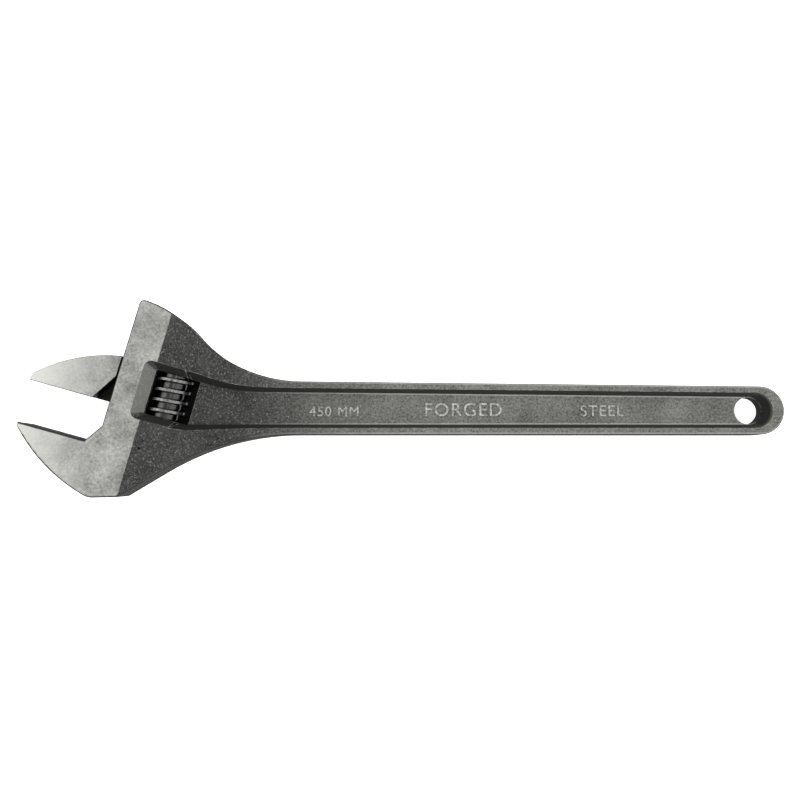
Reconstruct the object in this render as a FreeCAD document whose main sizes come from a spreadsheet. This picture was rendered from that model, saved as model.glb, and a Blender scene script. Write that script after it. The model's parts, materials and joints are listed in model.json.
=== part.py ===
import FreeCAD, Part
import math
import os

import Sketcher
from FreeCAD import Placement, Rotation, Vector

# Adjustable wrench, 18 in size: a forged body with a fixed jaw, a sliding jaw on a round rack bar,
# and a worm ("knurl") in a window of the head that drives the rack and turns on a screw pin.
#
# Frame: X along the handle with the head at -X, +Y to the side of the sliding jaw, +Z up out of
# the flat faces. The origin is the middle of the footprint and z = 0 is the face it lies on.
#
# The head has axes of its own, turned by jaw_angle about Z, with their origin at the inner corner
# of the fixed jaw's face: "along" runs from the jaw tips back towards the handle, and "across"
# runs the way the sliding jaw opens. Both jaw faces are square to "across".

SIZES = [
    # whole tool
    ("overall_length", 457.2),
    ("head_thickness", 26.0),
    ("jaw_angle", 15.5),
    # fixed jaw and head outline, in the head's axes
    ("root_drop", 24.3),            # fixed jaw's inner corner below the middle of the footprint
    ("jaw_reach", 41.8),            # length of the fixed jaw's face
    ("jaw_tip", 2.8),               # height of the fixed jaw's blunt tip
    ("jaw_tip_lean", 0.6),
    ("fixed_jaw_radius", 105.0),
    ("jaw_depth", 32.0),            # depth of the fixed jaw behind its face
    ("belly_setback", 11.5),        # where the jaw's back meets the flat of the belly
    ("belly_radius", 11.0),
    ("heel_setback", 28.3),
    ("heel_drop", 26.9),
    ("heel_round", 2.5),
    ("front_setback", 7.5),         # head's front face behind the fixed jaw's inner corner
    ("notch_rise", 11.0),
    ("head_corner", 3.0),
    # flares between head and handle
    ("crown_radius", 64.1),
    ("throat_radius", 86.6),
    ("flare_angle", 41.1),
    ("throat_setback", 128.3),
    ("belly_flare_radius", 160.0),
    ("belly_throat_setback", 126.3),
    # handle
    ("handle_thickness", 18.0),
    ("handle_width", 32.0),         # at the throat
    ("handle_end_width", 29.0),
    ("handle_edge_drop", 20.7),     # handle's straight lower side below the origin
    ("taper_setback", 30.0),        # from the fixed jaw's inner corner to where the head thins
    ("taper_length", 84.0),         # length over which it thins down to the handle
    ("web_thickness", 8.0),
    ("rim_width", 6.2),             # from the handle's side to the flat of the web
    ("recess_draft", 25.0),
    ("recess_flare_radius", 112.7),
    ("recess_round", 1.6),          # between the walls and the floor of the web's recess
    ("hang_hole", 16.2),
    ("hang_hole_setback", 20.5),    # hole's centre from the end of the handle
    ("end_slope", 45.0),            # of the recess's end wall, from the upright
    ("end_slope_offset", 2.6),      # centre of the sloped end past the hang hole's
    ("end_slope_land", 0.3),        # web left between the hang hole and the slope
    ("outer_round", 1.4),
    # slide bore and rack bar
    ("bar_diameter", 18.4),
    ("slide_clearance", 0.3),
    ("bar_setback", 13.4),          # bar's centre behind the head's front face
    ("bar_below_face", 10.0),
    ("bar_length", 52.0),
    ("bar_bevel", 0.8),
    ("neck_width", 9.4),
    ("stop_margin", 1.0),           # depth left under the bar when the jaws are shut
    # sliding jaw
    ("jaw_opening", 25.8),          # gap between the jaw faces as modelled
    ("opening_max", 52.4),
    ("sliding_jaw_step", 0.3),      # its flat sides below the head's
    ("sliding_jaw_overhang", 0.9),  # its tip beyond the fixed jaw's
    ("sliding_jaw_tip", 4.4),
    ("sliding_tip_lean", 1.1),
    ("sliding_tip_round", 2.0),
    ("sliding_jaw_height", 28.4),
    ("sliding_jaw_radius", 93.0),
    ("relief_length", 10.2),
    ("relief_height", 15.8),
    ("neck_inset", 1.0),            # top of the neck below the top of the jaw
    ("jaw_round", 0.6),
    # worm and rack teeth
    ("knurl_diameter", 22.2),
    ("knurl_length", 26.5),
    ("knurl_bevel", 1.0),
    ("thread_pitch", 6.35),
    ("thread_depth", 2.6),
    ("thread_crest", 1.5),
    ("thread_flank", 20.0),
    ("mesh_clearance", 0.25),
    ("thread_place", 2.0),          # a crest at the rack side, past the window's middle
    ("rack_end_land", 1.2),         # plain bar left at each end of the rack
    # window and thumb hollows
    ("window_gap", 0.4),            # at each end of the knurl
    ("window_front_step", 0.6),     # front wall of the window behind the knurl's foremost line
    ("window_back_gap", 4.9),       # open space behind the knurl
    ("window_top_step", 0.4),       # top wall below the sliding jaw's face at full opening
    ("hollow_front", 6.8),          # how far the thumb hollow runs out ahead of the window
    ("hollow_side", 4.2),
    ("hollow_depth", 4.5),
    ("hollow_round", 5.0),
    ("hollow_floor_round", 2.0),
    # pin and spring
    ("pin_diameter", 6.5),
    ("pin_running", 0.05),          # clearance between the pin and the knurl's bore
    ("pin_hold", 10.0),             # length of pin screwed into the far wall
    ("pin_hole_spare", 0.5),        # depth of the hole past the pin's end
    ("pin_bevel", 0.8),
    ("pin_head_diameter", 10.0),
    ("pin_head_height", 4.0),
    ("pin_head_bevel", 0.5),
    ("pin_head_gap", 0.3),          # around the head in its counterbore
    ("pin_wall", 24.2),             # from the window to the seat of the pin's head
    ("slot_width", 1.4),
    ("slot_depth", 1.6),
    ("spring_pocket", 11.2),        # diameter of the counterbore in the knurl
    ("spring_pocket_depth", 9.0),
    ("spring_wire", 1.1),
    ("spring_coil", 8.8),           # mean diameter
    ("spring_turns", 5.0),
    ("spring_end_gap", 0.1),
]

ROOT_X = "(-Sizes.overall_length / 2 + Sizes.jaw_reach * cos(Sizes.jaw_angle * 1 deg))"
ROOT_Y = "(-Sizes.root_drop)"
BAR_ALONG = "(Sizes.front_setback + Sizes.bar_setback)"
BORE_RADIUS = "(Sizes.bar_diameter / 2 + Sizes.slide_clearance)"
BAR_BACK = f"({BAR_ALONG} + Sizes.bar_diameter / 2)"
# the worm's tips reach one thread depth into the back of the rack bar
KNURL_ALONG = f"({BAR_BACK} - Sizes.thread_depth + Sizes.knurl_diameter / 2)"
WINDOW_FRONT = f"({KNURL_ALONG} - Sizes.knurl_diameter / 2 + Sizes.window_front_step)"
WINDOW_BACK = f"({KNURL_ALONG} + Sizes.knurl_diameter / 2 + Sizes.window_back_gap)"
WINDOW_LENGTH = "(Sizes.knurl_length + 2 * Sizes.window_gap)"
WINDOW_TOP = "(Sizes.opening_max - Sizes.window_top_step)"
WINDOW_BOTTOM = f"({WINDOW_TOP} - {WINDOW_LENGTH})"
WINDOW_MIDDLE = f"({WINDOW_TOP} - {WINDOW_LENGTH} / 2)"
LEAD_SLOPE = "(Sizes.thread_pitch / (pi * (Sizes.knurl_diameter - Sizes.thread_depth)))"

doc = FreeCAD.newDocument("adjustable_wrench")


def make_sheet():
    """Put every driving size into one spreadsheet, a name and a number to a row."""
    table = doc.addObject("Spreadsheet::Sheet", "Sizes")
    for row, (name, value) in enumerate(SIZES, start=1):
        table.set(f"A{row}", name)
        table.set(f"B{row}", str(value))
        table.setAlias(f"B{row}", name)
    doc.recompute()
    return table


sheet = make_sheet()


def value_of(formula):
    """Work out a formula of sheet sizes as a plain number."""
    result = sheet.evalExpression(str(formula))
    return float(getattr(result, "Value", result))


def head_point(along, across):
    """Formulas for the X and Y of a point given in the head's axes."""
    cosine = "cos(Sizes.jaw_angle * 1 deg)"
    sine = "sin(Sizes.jaw_angle * 1 deg)"
    x = f"({ROOT_X} + ({along}) * {cosine} + ({across}) * {sine})"
    y = f"({ROOT_Y} - ({along}) * {sine} + ({across}) * {cosine})"
    return x, y


def on_circle(x, y, radius, angle):
    """Formulas for the point of a circle at an angle, in degrees."""
    return f"({x} + {radius} * cos({angle} * 1 deg))", f"({y} + {radius} * sin({angle} * 1 deg))"


def tangent_between(x1, y1, radius1, x2, y2, radius2):
    """Angle in degrees of the normal of a line that passes over one circle and under another."""
    gap = f"sqrt(({x2} - {x1})^2 + ({y2} - {y1})^2)"
    slope = f"atan(({y2} - {y1}) / ({x1} - {x2}))"
    lean = f"acos(({radius1} + {radius2}) / {gap})"
    return f"(180 - {slope} / 1 deg - {lean} / 1 deg)"


def tangent_from(point, x, y, radius):
    """Angle in degrees at which the line from a point on the upper left touches a circle."""
    gap = f"sqrt(({x} - {point[0]})^2 + ({point[1]} - {y})^2)"
    slope = f"atan(({point[1]} - {y}) / ({x} - {point[0]}))"
    lean = f"acos({radius} / {gap})"
    return f"(180 - {slope} / 1 deg - {lean} / 1 deg)"


def upright_at(place):
    """Test for the upright edge that stands on a point of the outline."""
    x = value_of(place[0])
    y = value_of(place[1])

    def test(edge):
        box = edge.BoundBox
        return box.ZLength > 1 and abs(box.Center.x - x) < 0.01 and abs(box.Center.y - y) < 0.01
    return test


def new_body(label, x="0", y="0", turned=False):
    """Make an empty body whose own z = 0 is the middle of the tool's thickness."""
    body = doc.addObject("PartDesign::Body", label)
    body.Label = label
    body.setExpression("Placement.Base.x", x)
    body.setExpression("Placement.Base.y", y)
    body.setExpression("Placement.Base.z", "Sizes.head_thickness / 2")
    if turned:
        body.Placement.Rotation = Rotation(Vector(0, 0, 1), -1)
        body.setExpression("Placement.Rotation.Angle", "-Sizes.jaw_angle * 1 deg")
    return body


def plane_of(body, role):
    """Find one of the body's own origin planes by its role."""
    return next(item for item in body.Origin.OriginFeatures if item.Role == role)


def new_sketch(body, name, role="XY_Plane"):
    """Attach a new sketch to one of the body's origin planes."""
    sketch = body.newObject("Sketcher::SketchObject", name)
    sketch.AttachmentSupport = [(plane_of(body, role), "")]
    sketch.MapMode = "FlatFace"
    return sketch


def lift(sketch, height):
    """Raise a sketch off its plane."""
    sketch.setExpression("AttachmentOffset.Base.z", height)


def into_head_axes(sketch, along="0", across="0"):
    """Turn a sketch of the body's XY plane into the head's axes, with its origin at a point there."""
    x, y = head_point(along, across)
    sketch.AttachmentOffset = Placement(Vector(0, 0, 0), Rotation(Vector(0, 0, 1), -1))
    sketch.setExpression("AttachmentOffset.Base.x", x)
    sketch.setExpression("AttachmentOffset.Base.y", y)
    sketch.setExpression("AttachmentOffset.Rotation.Angle", "-Sizes.jaw_angle * 1 deg")


def bind(sketch, kind, *where, formula):
    """Add one dimension to a sketch and tie it to a formula."""
    number = value_of(formula)
    index = sketch.addConstraint(Sketcher.Constraint(kind, *where, number))
    sketch.setExpression(f"Constraints[{index}]", formula)


def arc_between(start, end, radius):
    """Arc of a given radius; it bulges to the right of the way from start to end when positive."""
    chord = end - start
    half = chord.Length / 2
    size = max(abs(radius), half * 1.0001)
    side = Vector(chord.y, -chord.x, 0).normalize()
    bulge = size - math.sqrt(size * size - half * half)
    middle = (start + end) / 2 + side * math.copysign(bulge, radius)
    return Part.Arc(start, middle, end)


def draw_outline(sketch, corners):
    """Draw a closed outline of lines and arcs.

    Each corner is (x, y) or (x, y, side, radius): the formulas of its place, and for an arc to the
    next corner +1 where it bulges to the right of the way round or -1 where it bulges to the left.
    """
    places = [Vector(value_of(c[0]), value_of(c[1]), 0) for c in corners]
    count = len(corners)
    starts = []
    ends = []
    for i, corner in enumerate(corners):
        here = places[i]
        there = places[(i + 1) % count]
        if len(corner) == 2:
            index = sketch.addGeometry(Part.LineSegment(here, there))
            starts.append((index, 1))
            ends.append((index, 2))
        else:
            arc = arc_between(here, there, corner[2] * value_of(corner[3]))
            index = sketch.addGeometry(arc)
            begins_here = (sketch.getPoint(index, 1) - here).Length < 1e-6
            starts.append((index, 1 if begins_here else 2))
            ends.append((index, 2 if begins_here else 1))
            bind(sketch, "Radius", index, formula=corner[3])
    for i, corner in enumerate(corners):
        sketch.addConstraint(Sketcher.Constraint("Coincident", *ends[i - 1], *starts[i]))
        bind(sketch, "DistanceX", *starts[i], formula=corner[0])
        bind(sketch, "DistanceY", *starts[i], formula=corner[1])


def draw_box(sketch, left, bottom, right, top):
    """Draw a rectangle from the formulas of its sides."""
    draw_outline(sketch, [(left, bottom), (right, bottom), (right, top), (left, top)])


def draw_rounded_box(sketch, left, bottom, right, top, radius):
    """Draw a rectangle with quarter-round corners."""
    draw_outline(sketch, [
        (f"{left} + {radius}", bottom),
        (f"{right} - {radius}", bottom, 1, radius),
        (right, f"{bottom} + {radius}"),
        (right, f"{top} - {radius}", 1, radius),
        (f"{right} - {radius}", top),
        (f"{left} + {radius}", top, 1, radius),
        (left, f"{top} - {radius}"),
        (left, f"{bottom} + {radius}", 1, radius),
    ])


def draw_circle(sketch, x, y, radius):
    """Draw a full circle from the formulas of its centre and radius."""
    centre = Vector(value_of(x), value_of(y), 0)
    index = sketch.addGeometry(Part.Circle(centre, Vector(0, 0, 1), value_of(radius)))
    bind(sketch, "Radius", index, formula=radius)
    for kind, formula in (("DistanceX", x), ("DistanceY", y)):
        bind(sketch, kind, index, 3, formula=formula)


def extrude(body, kind, name, sketch, length, midplane=True, reverse=False, taper=None):
    """Pad or pocket a sketch by a length."""
    feature = body.newObject(f"PartDesign::{kind}", name)
    feature.Profile = sketch
    feature.setExpression("Length", length)
    if midplane:
        feature.SideType = "Symmetric"
    feature.Reversed = reverse
    if taper:
        feature.setExpression("TaperAngle", taper)
    doc.recompute()
    return feature


def turn_about(body, kind, name, sketch, axis="V_Axis"):
    """Revolve or groove a sketch all the way round one of its own axes."""
    feature = body.newObject(f"PartDesign::{kind}", name)
    feature.Profile = sketch
    feature.ReferenceAxis = (sketch, [axis])
    feature.Angle = 360
    doc.recompute()
    return feature


def round_edges(body, name, base, radius, wanted):
    """Fillet those edges of a feature for which wanted(edge) is true."""
    names = [f"Edge{i}" for i, edge in enumerate(base.Shape.Edges, start=1) if wanted(edge)]
    fillet = body.newObject("PartDesign::Fillet", name)
    fillet.Base = (base, names)
    fillet.setExpression("Radius", radius)
    doc.recompute()
    return fillet


def make_wrench_body():
    """The forging: outline, thinned handle, web recesses, and the cuts for the moving pieces."""
    body = new_body("wrench_body")
    half_head = "(Sizes.head_thickness / 2)"
    half_handle = "(Sizes.handle_thickness / 2)"

    # The handle's lower side is straight. Its upper side is the common tangent of the throat
    # and of the round end, and the heel's side is the tangent from the heel to the lower flare.
    lower_y = "(-Sizes.handle_edge_drop)"
    end_radius = "(Sizes.handle_end_width / 2)"
    end_x = f"(Sizes.overall_length / 2 - {end_radius})"
    end_y = f"({lower_y} + {end_radius})"
    throat_x = f"({ROOT_X} + Sizes.throat_setback)"
    throat_y = f"({lower_y} + Sizes.handle_width + Sizes.throat_radius)"
    side_normal = tangent_between(end_x, end_y, end_radius, throat_x, throat_y, "Sizes.throat_radius")
    flare_x = f"({ROOT_X} + Sizes.belly_throat_setback)"
    flare_y = f"({lower_y} - Sizes.belly_flare_radius)"
    heel = head_point("Sizes.heel_setback", "-Sizes.heel_drop")
    heel_normal = tangent_from(heel, flare_x, flare_y, "Sizes.belly_flare_radius")
    cos_flare = "cos(Sizes.flare_angle * 1 deg)"
    sin_flare = "sin(Sizes.flare_angle * 1 deg)"
    both_radii = "(Sizes.throat_radius + Sizes.crown_radius)"
    # the crown's centre seen from the head's origin, in the head's axes
    crown_dx = f"(Sizes.throat_setback - {both_radii} * {cos_flare})"
    crown_dy = f"({throat_y} - {both_radii} * {sin_flare} - {ROOT_Y})"
    cosine = "cos(Sizes.jaw_angle * 1 deg)"
    sine = "sin(Sizes.jaw_angle * 1 deg)"
    crown_along = f"({crown_dx} * {cosine} - {crown_dy} * {sine})"
    crown_across = f"({crown_dx} * {sine} + {crown_dy} * {cosine})"
    corner_across = (f"({crown_across} + sqrt(Sizes.crown_radius^2"
                     f" - (Sizes.front_setback - {crown_along})^2))")

    # outline, counter-clockwise from the fixed jaw's inner corner
    outline = new_sketch(body, "outline")
    belly = head_point("Sizes.belly_setback", "-Sizes.jaw_depth")
    head_corner = head_point("Sizes.front_setback", corner_across)
    draw_outline(outline, [
        head_point("0", "0"),
        head_point("-Sizes.jaw_reach", "0"),
        head_point("-Sizes.jaw_reach + Sizes.jaw_tip_lean", "-Sizes.jaw_tip")
        + (1, "Sizes.fixed_jaw_radius"),
        belly,
        heel,
        on_circle(flare_x, flare_y, "Sizes.belly_flare_radius", heel_normal)
        + (-1, "Sizes.belly_flare_radius"),
        (flare_x, lower_y),
        (end_x, lower_y, 1, end_radius),
        (f"({end_x} + {end_radius})", end_y, 1, end_radius),
        on_circle(end_x, end_y, end_radius, side_normal),
        on_circle(throat_x, throat_y, "(-Sizes.throat_radius)", side_normal)
        + (-1, "Sizes.throat_radius"),
        (f"({throat_x} - Sizes.throat_radius * {cos_flare})",
         f"({throat_y} - Sizes.throat_radius * {sin_flare})", 1, "Sizes.crown_radius"),
        head_corner,
        head_point("Sizes.front_setback", "Sizes.notch_rise"),
    ])
    forging = extrude(body, "Pad", "forging", outline, "Sizes.head_thickness")

    # its upright corners are rounded
    for name, place, radius in (("belly_corner", belly, "Sizes.belly_radius"),
                                ("head_corner", head_corner, "Sizes.head_corner"),
                                ("heel_corner", heel, "Sizes.heel_round")):
        forging = round_edges(body, name, forging, radius, upright_at(place))

    # behind the ground faces the head thins down to the handle, square to the head's axes
    thinning = new_sketch(body, "thinning", "XZ_Plane")
    thinning.AttachmentOffset = Placement(Vector(0, 0, 0), Rotation(Vector(0, 1, 0), -1))
    thinning.setExpression("AttachmentOffset.Base.x", ROOT_X)
    thinning.setExpression("AttachmentOffset.Base.z", "Sizes.root_drop")
    thinning.setExpression("AttachmentOffset.Rotation.Angle", "-Sizes.jaw_angle * 1 deg")
    # two equal arcs, level at the head and at the handle
    fall = f"({half_head} - {half_handle})"
    blend = f"((Sizes.taper_length^2 + {fall}^2) / (4 * {fall}))"
    taper_start = "Sizes.taper_setback"
    taper_middle = "(Sizes.taper_setback + Sizes.taper_length / 2)"
    taper_end = "(Sizes.taper_setback + Sizes.taper_length)"
    half_way = f"(({half_head} + {half_handle}) / 2)"
    beyond = "(Sizes.overall_length * 1.2)"
    over = f"({half_head} * 1.5)"
    for sign, side in (("", 1), ("-", -1)):
        draw_outline(thinning, [
            (taper_start, f"({sign}{half_head})", -side, blend),
            (taper_middle, f"({sign}{half_way})", side, blend),
            (taper_end, f"({sign}{half_handle})"),
            (beyond, f"({sign}{half_handle})"),
            (beyond, f"({sign}{over})"),
            (taper_start, f"({sign}{over})"),
        ])
    thinned = extrude(body, "Pocket", "thinned_handle", thinning, "(Sizes.overall_length * 2)")

    # the long edges of both flat faces are rounded over
    def on_flat_outline(edge):
        box = edge.BoundBox
        if box.ZMin * box.ZMax <= 0 or min(abs(box.ZMin), abs(box.ZMax)) < value_of(half_handle) - 0.01:
            return False
        # half way down to the middle of the tool, a point beside the edge is outside the solid
        middle = edge.valueAt((edge.FirstParameter + edge.LastParameter) / 2)
        below = Vector(middle.x, middle.y, middle.z / 2)
        sides = [Vector(0.5, 0, 0), Vector(-0.5, 0, 0), Vector(0, 0.5, 0), Vector(0, -0.5, 0)]
        return not all(thinned.Shape.isInside(below + side, 1e-4, True) for side in sides)

    round_edges(body, "rounded_outline", thinned, "Sizes.outer_round", on_flat_outline)

    make_web_recesses(body)
    make_head_cuts(body)
    return body


def make_web_recesses(body):
    """Hollow out both sides of the handle, with drafted walls, from the window to the hang hole."""
    rim = "Sizes.rim_width"
    lower_y = f"(-Sizes.handle_edge_drop + {rim})"
    upper_y = f"(-Sizes.handle_edge_drop + Sizes.handle_width - {rim})"
    end_radius = f"(Sizes.handle_end_width / 2 - {rim})"
    hole_x = "(Sizes.overall_length / 2 - Sizes.hang_hole_setback)"
    end_y = "(-Sizes.handle_edge_drop + Sizes.handle_end_width / 2)"
    # at the window the upper wall flares up to the window's top corner, and the recess
    # starts inside the window
    start_along = f"({KNURL_ALONG} + Sizes.knurl_diameter / 2)"
    window_corner = head_point(WINDOW_BACK, WINDOW_TOP)
    inner_top = head_point(start_along, WINDOW_TOP)
    inner_bottom = head_point(start_along, WINDOW_BOTTOM)
    low_start = head_point(WINDOW_BACK, WINDOW_BOTTOM)
    flare = "Sizes.recess_flare_radius"
    flare_y = f"({upper_y} + {flare})"
    flare_x = f"({window_corner[0]} + sqrt({flare}^2 - ({flare_y} - {window_corner[1]})^2))"
    side_normal = tangent_between(hole_x, end_y, end_radius, flare_x, flare_y, flare)
    level = "(Sizes.web_thickness / 2)"
    depth = f"(Sizes.head_thickness / 2 - {level} + 1)"
    for name, height, flip in (("upper", level, True), ("lower", f"(-{level})", False)):
        sketch = new_sketch(body, f"{name}_web")
        lift(sketch, height)
        draw_outline(sketch, [
            inner_bottom,
            (low_start[0], lower_y),
            (hole_x, lower_y, 1, end_radius),
            (f"({hole_x} + {end_radius})", end_y, 1, end_radius),
            on_circle(hole_x, end_y, end_radius, side_normal),
            on_circle(flare_x, flare_y, f"(-{flare})", side_normal) + (-1, flare),
            window_corner,
            inner_top,
        ])
        recess = extrude(body, "Pocket", f"{name}_recess", sketch, depth, midplane=False, reverse=flip,
                         taper="Sizes.recess_draft")
        floor_z = value_of(height)
        window_x = value_of(window_corner[0])

        def around_floor(edge):
            box = edge.BoundBox
            on_floor = abs(box.ZMin - floor_z) < 0.01 and abs(box.ZMax - floor_z) < 0.01
            return on_floor and box.XMax > window_x - 1

        round_edges(body, f"{name}_recess_rounding", recess, "Sizes.recess_round", around_floor)

        slope = new_sketch(body, f"{name}_end_slope")
        lift(slope, height)
        slope_x = f"({hole_x} + Sizes.end_slope_offset)"
        slope_radius = "(Sizes.hang_hole / 2 + Sizes.end_slope_land - Sizes.end_slope_offset)"
        draw_circle(slope, slope_x, end_y, slope_radius)
        extrude(body, "Pocket", f"{name}_end_slope_cut", slope, depth, midplane=False, reverse=flip,
                taper="Sizes.end_slope")

    hole = new_sketch(body, "hang_hole")
    draw_circle(hole, hole_x, end_y, "(Sizes.hang_hole / 2)")
    extrude(body, "Pocket", "hang_hole_cut", hole, "(Sizes.head_thickness * 2)")


def make_head_cuts(body):
    """Cut the slide bore, the neck slot, the knurl's window with its hollows and the pin's hole."""
    far = "(Sizes.overall_length / 2)"
    bore_floor = "(-Sizes.bar_below_face - Sizes.stop_margin)"
    bore = new_sketch(body, "slide_bore")
    into_head_axes(bore, BAR_ALONG)
    draw_box(bore, "0", bore_floor, BORE_RADIUS, far)
    turn_about(body, "Groove", "slide_bore_cut", bore)

    slot = new_sketch(body, "neck_slot")
    into_head_axes(slot)
    draw_box(slot, "0", "(-2 * Sizes.slide_clearance)", BAR_ALONG, far)
    extrude(body, "Pocket", "neck_slot_cut", slot, "(Sizes.neck_width + 2 * Sizes.slide_clearance)")

    window = new_sketch(body, "knurl_window")
    into_head_axes(window)
    draw_box(window, WINDOW_FRONT, WINDOW_BOTTOM, WINDOW_BACK, WINDOW_TOP)
    extrude(body, "Pocket", "knurl_window_cut", window, "(Sizes.head_thickness * 2)")

    floor_level = "(Sizes.head_thickness / 2 - Sizes.hollow_depth)"
    overshoot = 0.2
    grow = f"(1 + {overshoot})"
    for name, sign in (("upper", ""), ("lower", "-")):
        inner = new_sketch(body, f"{name}_hollow_floor")
        into_head_axes(inner)
        lift(inner, f"({sign}{floor_level})")
        draw_rounded_box(inner, WINDOW_FRONT, WINDOW_BOTTOM, WINDOW_BACK, WINDOW_TOP,
                         "Sizes.hollow_floor_round")
        outer = new_sketch(body, f"{name}_hollow_rim")
        into_head_axes(outer)
        lift(outer, f"({sign}(Sizes.head_thickness / 2 + Sizes.hollow_depth * {overshoot}))")
        front = f"({WINDOW_FRONT} - Sizes.hollow_front * {grow})"
        bottom = f"({WINDOW_BOTTOM} - Sizes.hollow_side * {grow})"
        top = f"({WINDOW_TOP} + Sizes.hollow_side * {grow})"
        draw_rounded_box(outer, front, bottom, WINDOW_BACK, top, "Sizes.hollow_round")
        loft = body.newObject("PartDesign::SubtractiveLoft", f"{name}_thumb_hollow")
        loft.Profile = inner
        loft.Sections = [outer]
        loft.Ruled = True
        doc.recompute()

    hole = new_sketch(body, "pin_hole")
    into_head_axes(hole, KNURL_ALONG)
    hole_floor = f"({WINDOW_BOTTOM} - Sizes.pin_hold - Sizes.pin_hole_spare)"
    seat = f"({WINDOW_TOP} + Sizes.pin_wall)"
    pin_radius = "(Sizes.pin_diameter / 2)"
    head_radius = "(Sizes.pin_head_diameter / 2 + Sizes.pin_head_gap)"
    draw_outline(hole, [
        ("0", hole_floor), (pin_radius, hole_floor), (pin_radius, seat),
        (head_radius, seat), (head_radius, far), ("0", far),
    ])
    turn_about(body, "Groove", "pin_hole_cut", hole)


def make_sliding_jaw():
    """Movable jaw: thick jaw, thinner neck in the slot, round bar with rack teeth in its back."""
    x, y = head_point("0", "Sizes.jaw_opening")
    body = new_body("sliding_jaw", x, y, turned=True)
    front = "(Sizes.front_setback - Sizes.slide_clearance)"
    thickness = "(Sizes.head_thickness - 2 * Sizes.sliding_jaw_step)"
    tip = "(-Sizes.jaw_reach - Sizes.sliding_jaw_overhang)"
    tip_back = (f"({tip} + Sizes.sliding_tip_lean)", "Sizes.sliding_jaw_tip")
    relief_start = "(Sizes.front_setback - Sizes.relief_length)"

    outline = new_sketch(body, "jaw_outline")
    draw_outline(outline, [
        (relief_start, "0"),
        (front, "Sizes.relief_height"),
        (front, "Sizes.sliding_jaw_height", 1, "Sizes.sliding_jaw_radius"),
        tip_back,
        (tip, "0"),
    ])
    plate = extrude(body, "Pad", "jaw_plate", outline, thickness)
    plate = round_edges(body, "tip_corner", plate, "Sizes.sliding_tip_round", upright_at(tip_back))
    half = value_of(thickness) / 2

    def on_face(edge):
        return min(abs(edge.BoundBox.ZMin), abs(edge.BoundBox.ZMax)) > half - 0.01

    round_edges(body, "jaw_rounding", plate, "Sizes.jaw_round", on_face)

    neck = new_sketch(body, "neck")
    draw_box(neck, relief_start, "0", BAR_ALONG, "Sizes.sliding_jaw_height - Sizes.neck_inset")
    extrude(body, "Pad", "neck_plate", neck, "Sizes.neck_width")

    bar = new_sketch(body, "rack_bar")
    bar.AttachmentOffset = Placement(Vector(value_of(BAR_ALONG), 0, 0), Rotation())
    bar.setExpression("AttachmentOffset.Base.x", BAR_ALONG)
    low = "(-Sizes.bar_below_face)"
    high = f"({low} + Sizes.bar_length)"
    radius = "(Sizes.bar_diameter / 2)"
    bevel = "Sizes.bar_bevel"
    draw_outline(bar, [
        ("0", low), (f"({radius} - {bevel})", low), (radius, f"({low} + {bevel})"),
        (radius, f"({high} - {bevel})"), (f"({radius} - {bevel})", high), ("0", high),
    ])
    turn_about(body, "Revolution", "rack_bar_solid", bar)

    # tooth spaces, square to the worm's thread: one open at the bar's end, then a row of whole ones
    end_land = "Sizes.rack_end_land"
    crest = f"({WINDOW_MIDDLE} + Sizes.thread_place - Sizes.jaw_opening)"
    first = f"({low} + {end_land} + mod({crest} - {low} - {end_land}, Sizes.thread_pitch))"
    root = f"({BAR_BACK} - Sizes.thread_depth - Sizes.mesh_clearance)"
    outside = f"({BAR_BACK} + 1)"
    narrow = "(Sizes.thread_crest / 2 + Sizes.mesh_clearance)"
    wide = f"({narrow} + ({outside} - {root}) * tan(Sizes.thread_flank * 1 deg))"
    for name, place in (("end", f"({first} - Sizes.thread_pitch)"), ("tooth", first)):
        space = new_sketch(body, f"{name}_space")
        draw_outline(space, [
            (root, f"({place} - {narrow})"),
            (outside, f"({place} - {wide})"),
            (outside, f"({place} + {wide})"),
            (root, f"({place} + {narrow})"),
        ])
        cut = extrude(body, "Pocket", f"{name}_space_cut", space, "(Sizes.bar_diameter * 2)")
        cut.UseCustomVector = True
        cut.Direction = Vector(0, value_of(LEAD_SLOPE), 1)
        cut.AlongSketchNormal = True
        doc.recompute()
    row = body.newObject("PartDesign::LinearPattern", "rack_teeth")
    row.Originals = [cut]
    row.Direction = (space, ["V_Axis"])
    row.Mode = "Spacing"
    row.setExpression("Offset", "Sizes.thread_pitch")
    row.setExpression("Occurrences", f"floor((Sizes.bar_length - 2 * {end_land}) / Sizes.thread_pitch) + 1")
    body.Tip = row
    doc.recompute()
    return body


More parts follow.
